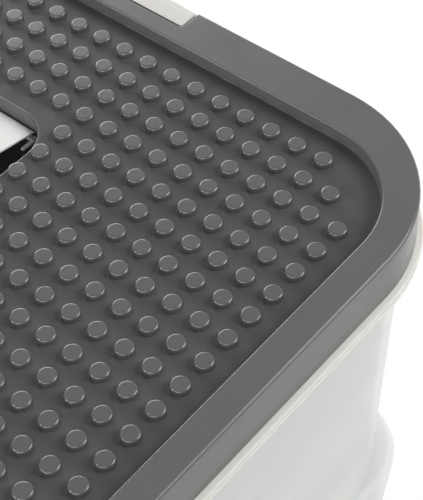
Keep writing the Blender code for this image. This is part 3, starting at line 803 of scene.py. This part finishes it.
def flap_section():
    """Section of the closed flap as (y, z) about its hinge axis, with a round back edge."""
    front = -WELL_WIDTH / 2 + FLAP_FRONT_GAP - hinge_y
    meet_deg = math.degrees(math.asin(flap_under / BARREL_RADIUS))
    points = arc((0.0, 0.0), BARREL_RADIUS, 90, -180 - meet_deg, 3 * ARC_STEPS)
    return points + [(front, flap_under), (front, BARREL_RADIUS)]


def flap_edges():
    """Upright side edges that slope inwards to the underside."""
    inner = flap_half - FLAP_UNDERCUT
    levels = [
        (inner, -WELL_DEPTH), (inner, flap_under), (flap_half, BARREL_RADIUS - FLAP_EDGE),
        (flap_half, WELL_DEPTH),
    ]
    return loft([at_height(plan(half_x, WELL_WIDTH, SMALLEST_CORNER, 1), z) for half_x, z in levels])


def flap_tab(side):
    """A thin strip beside the back corner of the flap with a foot under it, level while the flap is ajar."""
    foot = flap_half - TAB_FOOT_INSET
    inner = flap_half - TAB_INSET
    outer = inner + TAB_WIDTH
    corners = [
        (foot, -TAB_FOOT_FRONT), (inner, -TAB_FOOT_FRONT), (inner, -TAB_FRONT), (outer, -TAB_FRONT),
        (outer, TAB_BACK), (foot, TAB_BACK),
    ]
    points = [(side * x, y) for x, y in corners][::side]
    bm = loft([at_height(points, z) for z in (-TAB_DROP - TAB_THICKNESS, -TAB_DROP)])
    turn = Matrix.Rotation(math.radians(FLAP_AJAR_DEG), 3, "X")
    bmesh.ops.rotate(bm, verts=bm.verts, cent=(0.0, 0.0, 0.0), matrix=turn)
    return bm


def flap_trim():
    """The outline of the well drawn in by a gap, about the hinge axis."""
    half_x = WELL_LENGTH / 2 - FLAP_WALL_GAP
    half_y = WELL_WIDTH / 2 - FLAP_WALL_GAP
    points = plan(half_x, half_y, WELL_CORNER - FLAP_WALL_GAP, WELL_CORNER_STEPS, -hinge_y)
    return loft([at_height(points, z) for z in (-WELL_DEPTH, WELL_DEPTH)])


def flap_bore(side):
    bm = bmesh.new()
    inner = flap_half - PIN_DEPTH - SEAT_GAP
    add_bar(bm, PIN_RADIUS + PIN_CLEARANCE, side * inner, side * (flap_half + CUT_MARGIN), 0.0, 0.0)
    return bm


def flap_rib():
    """A rib under the flap that drops into the hatch hole."""
    top = flap_under + FLAP_RIB_HEIGHT / 2
    section = [(FLAP_RIB_INSET, top), (FLAP_RIB_INSET, flap_under - FLAP_RIB_HEIGHT)]
    section += [(FLAP_RIB_INSET + FLAP_RIB_WIDTH, z) for inset, z in reversed(section)]
    rings = [hole_ring(-inset, z) for inset, z in section]
    for points in rings:
        for point in points:
            point.y -= hinge_y
    return loft(rings, closed=True)


def make_flap():
    """Drawn closed about its hinge axis, then turned to stand ajar."""
    bm = bmesh.new()
    add_prism(bm, flap_section(), -WELL_LENGTH / 2, WELL_LENGTH / 2)
    flap = make_object("hatch_flap_moulding", bm)
    carve(flap, [
        (flap_edges(), "INTERSECT"),
        (flap_rib(), "UNION"), (flap_tab(-1), "UNION"), (flap_tab(1), "UNION"),
        (flap_trim(), "INTERSECT"),
        (flap_bore(-1), "DIFFERENCE"), (flap_bore(1), "DIFFERENCE"),
    ])
    round_edges(flap, FLAP_ROUNDING)
    turn = Matrix.Rotation(-math.radians(FLAP_AJAR_DEG), 4, "X")
    flap.data.transform(Matrix.Translation((0.0, hinge_y, hinge_z)) @ turn)
    dress(flap, white_plastic, "hatch", ("hatch_flap",))


def make_hatch_pins():
    for name in ("hatch_pin_left", "hatch_pin_right"):
        low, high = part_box(name)
        inner, outer = sorted((low.x, high.x), key=abs)
        bm = bmesh.new()
        add_bar(bm, PIN_RADIUS, inner, outer, hinge_y, hinge_z, PIN_CHAMFER)
        dress(make_object(name + "_round", bm), grey_plastic, "lid", (name,))


# Tub

def tub_skin(wall):
    """Profile of the tub as (inset, z, corner radius), from the neck down, drawn in by a wall."""
    draft = math.radians(WALL_DRAFT_DEG)
    neck_foot = NECK_INSET + NECK_HEIGHT * math.tan(math.radians(NECK_DRAFT_DEG))
    centre_inset = SHOULDER_INSET + SHOULDER_RADIUS
    ledge_rise = math.sqrt(SHOULDER_RADIUS ** 2 - (centre_inset - neck_foot + SHOULDER_LEDGE) ** 2)
    centre_z = shoulder_z - ledge_rise
    radius = SHOULDER_RADIUS - wall
    ledge_deg = math.degrees(math.asin((ledge_rise - wall) / radius))
    points = []
    for inset, z in ((NECK_INSET + wall, neck_z), (neck_foot + wall, shoulder_z - wall)):
        points.append((inset, z, LID_CORNER - inset))
    for out, z in arc((-centre_inset, centre_z), radius, ledge_deg, -WALL_DRAFT_DEG, ARC_STEPS):
        points.append((-out, z, SHOULDER_CORNER - wall))
    start_inset = centre_inset - SHOULDER_RADIUS * math.cos(draft)
    start_z = centre_z - SHOULDER_RADIUS * math.sin(draft)
    foot_z = BASE_FILLET * (1 - math.sin(draft))
    foot_inset = start_inset + (start_z - foot_z) * math.tan(draft)
    base = (-foot_inset - BASE_FILLET * math.cos(draft), BASE_FILLET)
    for out, z in arc(base, BASE_FILLET - wall, -WALL_DRAFT_DEG, -90, ARC_STEPS):
        points.append((-out, z, SHOULDER_CORNER + foot_inset + out))
    return points


def flange_profile():
    """The rounded flange as (inset, z, corner radius), from the fillet under it to the tub's mouth."""
    points = arc((FLANGE_FILLET - NECK_INSET, neck_z - FLANGE_FILLET), FLANGE_FILLET, 180, 90, EDGE_STEPS)
    edge = FLANGE_OVERHANG - FLANGE_ROUNDING
    points += arc((edge, neck_z + FLANGE_ROUNDING), FLANGE_ROUNDING, -90, 0, EDGE_STEPS)
    groove_z = neck_z + FLANGE_GROOVE_RISE
    points += [
        (FLANGE_OVERHANG, groove_z - FLANGE_GROOVE_WIDTH / 2),
        (FLANGE_OVERHANG - FLANGE_GROOVE_DEPTH, groove_z),
        (FLANGE_OVERHANG, groove_z + FLANGE_GROOVE_WIDTH / 2),
    ]
    points += arc((edge, flange_z - FLANGE_ROUNDING), FLANGE_ROUNDING, 0, 90, EDGE_STEPS)
    mouth = NECK_INSET + BODY_WALL
    points += [(FLANGE_ROUNDING - mouth, flange_z), (-mouth, flange_z - FLANGE_ROUNDING)]
    return [(-out, z, LID_CORNER + out) for out, z in points]


def make_tub():
    outside = list(reversed(tub_skin(0.0)))
    base_inset, base_z, base_corner = outside[0]
    profile = []
    for inward, up in ((FOOT_WIDTH + FOOT_HEIGHT, FOOT_HEIGHT), (FOOT_WIDTH, 0.0)):
        profile.append((base_inset + inward, base_z + up, base_corner - inward))
    profile += outside[:-1] + flange_profile() + tub_skin(BODY_WALL)
    rings = []
    for inset, z, corner in profile:
        rings.append(at_height(plan(half_length - inset, half_width - inset, corner, CORNER_STEPS), z))
    tub = make_object("tub_shell", loft(rings))
    carve(tub, [
        (clip_lugs(), "UNION"),
        (flange_gaps(), "DIFFERENCE"),
        (lug_bores(), "DIFFERENCE"),
    ])
    dress(tub, tub_plastic, "tub", ("tub",))


def add_prism(bm, outline, x_from, x_to):
    """Extrude an outline of (y, z) points along X."""
    face = bm.faces.new([bm.verts.new((x_from, y, z)) for y, z in outline])
    grown = bmesh.ops.extrude_face_region(bm, geom=[face])["geom"]
    moved = [item for item in grown if isinstance(item, bmesh.types.BMVert)]
    bmesh.ops.translate(bm, verts=moved, vec=(x_to - x_from, 0.0, 0.0))


def clip_lugs():
    wall_y = half_width - NECK_INSET - math.tan(math.radians(NECK_DRAFT_DEG)) * (neck_z - clip_pivot_z)
    root_y = wall_y - BODY_WALL / 2
    outline = [(root_y, clip_pivot_z - KNUCKLE_RADIUS)]
    outline += arc((clip_pivot_y, clip_pivot_z), KNUCKLE_RADIUS, -90, 90, 2 * ARC_STEPS)
    outline.append((root_y, clip_pivot_z + KNUCKLE_RADIUS))
    bm = bmesh.new()
    for side in (-1, 1):
        add_prism(bm, outline, side * (clip_half - LUG_WIDTH), side * clip_half)
    return both_ends(bm)


def flange_gaps():
    bm = bmesh.new()
    add_box(
        bm,
        (-NOTCH_LENGTH / 2, half_width + clip_inner - CLIP_FLANGE_GAP, neck_z - CUT_MARGIN / 2),
        (NOTCH_LENGTH / 2, half_width + FLANGE_OVERHANG + CUT_MARGIN, flange_z + CUT_MARGIN),
    )
    return both_ends(bm)


def lug_bores():
    bm = bmesh.new()
    reach = clip_half + CUT_MARGIN
    add_bar(bm, CLIP_PIN_RADIUS + PIN_CLEARANCE, -reach, reach, clip_pivot_y, clip_pivot_z)
    return both_ends(bm)


# Clips and their pins

def smooth(value):
    value = min(max(value, 0.0), 1.0)
    return value * value * (3 - 2 * value)


def clip_outline():
    """Section of a clip as (y, z) about its pivot, with y pointing away from the bin."""
    outer = CLIP_PROUD - clip_pivot_out
    inner = clip_inner - clip_pivot_out
    tip = -NOTCH_DEPTH + CLIP_TIP_GAP - clip_pivot_out
    top = clip_length - CLIP_TOP_DROP
    hook = clip_length - NOTCH_DROP + CLIP_HOOK_GAP
    lip = clip_length - LIP_DROP
    inner_deg = math.degrees(math.acos(inner / KNUCKLE_RADIUS))
    points = [(tip, top), (tip, hook), (inner, hook)]
    points += arc((0.0, 0.0), KNUCKLE_RADIUS, inner_deg, 360, 4 * ARC_STEPS)
    points += [
        (outer, lip - LIP_HEIGHT), (outer + LIP_REACH, lip - LIP_FLAT - LIP_REACH / 4),
        (outer + LIP_REACH, lip - LIP_REACH / 4), (outer, lip),
    ]
    points += arc((outer - CLIP_ROLL, top - CLIP_ROLL), CLIP_ROLL, 0, 90, 2 * ARC_STEPS)
    return points


def clip_body():
    """The clip's section along X, with the ends of its rolled top falling away."""
    outline = clip_outline()
    outer = CLIP_PROUD - clip_pivot_out
    inner = clip_inner - clip_pivot_out
    lip = clip_length - LIP_DROP
    stations = [clip_half - CLIP_END_SWEEP * step / ARC_STEPS for step in range(ARC_STEPS + 1)]
    stations = [-x for x in stations] + list(reversed(stations))
    rings = []
    for x in stations:
        past = max(abs(x) - (clip_half - CLIP_END_SWEEP), 0.0) / CLIP_END_SWEEP
        fall = CLIP_END_FALL * past * past
        ring = []
        for y, z in outline:
            share = smooth((z - lip) / (clip_length - lip)) * smooth((y - inner) / (outer - inner))
            ring.append(Vector((x, y - fall * share, z)))
        rings.append(ring)
    return loft(rings)


def make_clips():
    knuckle_half = clip_half - LUG_WIDTH - LUG_SIDE_GAP
    spread = KNUCKLE_RADIUS + LUG_SIDE_GAP
    for name, turn_deg, side in (("back_clip", 0.0, 1), ("front_clip", 180.0, -1)):
        clip = make_object(name + "_moulding", clip_body())
        slots = bmesh.new()
        for end in (-1, 1):
            low_x, high_x = sorted((end * knuckle_half, end * (clip_half + CUT_MARGIN)))
            add_box(slots, (low_x, -spread, -spread), (high_x, spread, spread))
        bore = bmesh.new()
        reach = clip_half + CUT_MARGIN
        add_bar(bore, CLIP_PIN_RADIUS + PIN_CLEARANCE, -reach, reach, 0.0, 0.0)
        carve(clip, [(slots, "DIFFERENCE"), (bore, "DIFFERENCE")])
        round_edges(clip, CLIP_ROUNDING)
        place = Matrix.Translation((0.0, side * clip_pivot_y, clip_pivot_z))
        turn = Matrix.Rotation(math.radians(turn_deg), 4, "Z")
        clip.data.transform(place @ turn)
        dress(clip, milky_plastic, name, (name,))
        pin = bmesh.new()
        add_bar(pin, CLIP_PIN_RADIUS, -clip_half, clip_half, side * clip_pivot_y, clip_pivot_z, PIN_CHAMFER)
        dress(make_object(name + "_pin_round", pin), pin_steel, "tub", (name + "_pin",))


# Stage

def add_light(name, azimuth_deg, elevation_deg, distance, size, power, colour=(1.0, 1.0, 1.0)):
    """A square soft light that faces the middle of the lid's top."""
    azimuth = math.radians(azimuth_deg)
    elevation = math.radians(elevation_deg)
    level = math.cos(elevation)
    outward = Vector((level * math.cos(azimuth), level * math.sin(azimuth), math.sin(elevation)))
    data = bpy.data.lights.new(name, "AREA")
    data.size = size
    data.energy = power
    data.color = colour
    light = bpy.data.objects.new(name, data)
    light.location = Vector((0.0, 0.0, rim_z)) + distance * outward
    light.rotation_euler = outward.to_track_quat("Z", "Y").to_euler()
    bpy.context.scene.collection.objects.link(light)


def add_seen_ray(tree):
    """1 for rays that show the background: from the camera, through the plastic or off its gloss."""
    rays = tree.nodes.new("ShaderNodeLightPath").outputs
    direct = add_math(tree, "MAXIMUM", rays["Is Camera Ray"], rays["Is Transmission Ray"])
    return add_math(tree, "MAXIMUM", direct, rays["Is Glossy Ray"])


def make_world():
    world = bpy.data.worlds.new("studio")
    world.use_nodes = True
    tree = world.node_tree
    background = tree.nodes["Background"]
    background.inputs["Color"].default_value = (1.0, 1.0, 1.0, 1.0)
    strength = tree.nodes.new("ShaderNodeMapRange")
    strength.inputs["To Min"].default_value = WORLD_LIGHT
    strength.inputs["To Max"].default_value = 1.0
    tree.links.new(add_seen_ray(tree), strength.inputs["Value"])
    tree.links.new(strength.outputs["Result"], background.inputs["Strength"])
    bpy.context.scene.world = world


def make_floor():
    """A white floor that keeps a soft shadow."""
    bm = bmesh.new()
    bmesh.ops.create_grid(bm, x_segments=1, y_segments=1, size=FLOOR_HALF)
    floor = make_object("floor", bm)
    material = bpy.data.materials.new("floor_paper")
    material.use_nodes = True
    tree = material.node_tree
    tree.nodes.clear()
    paper = tree.nodes.new("ShaderNodeBsdfDiffuse")
    paper.inputs["Color"].default_value = (FLOOR_PAPER, FLOOR_PAPER, FLOOR_PAPER, 1.0)
    white = tree.nodes.new("ShaderNodeEmission")
    white.inputs["Strength"].default_value = 1.0
    share = add_math(tree, "MULTIPLY", add_seen_ray(tree), FLOOR_WHITE)
    mix = tree.nodes.new("ShaderNodeMixShader")
    tree.links.new(share, mix.inputs["Fac"])
    tree.links.new(paper.outputs["BSDF"], mix.inputs[1])
    tree.links.new(white.outputs["Emission"], mix.inputs[2])
    output = tree.nodes.new("ShaderNodeOutputMaterial")
    tree.links.new(mix.outputs["Shader"], output.inputs["Surface"])
    floor.data.materials.append(material)


def make_camera():
    azimuth = math.radians(CAMERA_AZIMUTH_DEG)
    elevation = math.radians(CAMERA_ELEVATION_DEG)
    reach = math.cos(elevation)
    back = Vector((math.sin(azimuth) * reach, -math.cos(azimuth) * reach, math.sin(elevation)))
    roll = Matrix.Rotation(math.radians(CAMERA_ROLL_DEG), 3, back)
    right = roll @ Vector((math.cos(azimuth), math.sin(azimuth), 0.0))
    up = back.cross(right)
    data = bpy.data.cameras.new("camera")
    data.sensor_width = SENSOR_MM
    data.lens = FOCAL_LENGTH_PX * SENSOR_MM / IMAGE_HEIGHT_PX
    data.clip_start = 0.01
    data.clip_end = 50.0
    camera = bpy.data.objects.new("camera", data)
    turn = Matrix((right, up, back)).transposed().to_4x4()
    camera.matrix_world = Matrix.Translation(CAMERA_PLACE) @ turn
    bpy.context.scene.collection.objects.link(camera)
    bpy.context.scene.camera = camera


def main():
    make_camera()
    make_world()
    make_floor()
    add_light("right_light", **RIGHT_LIGHT)
    add_light("back_light", **BACK_LIGHT)
    add_light("left_light", **LEFT_LIGHT)
    add_light("front_light", **FRONT_LIGHT)
    add_light("camera_light", **CAMERA_LIGHT)
    bpy.context.scene.view_settings.view_transform = "Standard"
    make_tub()
    make_lid()
    make_studs()
    make_seals()
    make_flap()
    make_hatch_pins()
    make_clips()


main()
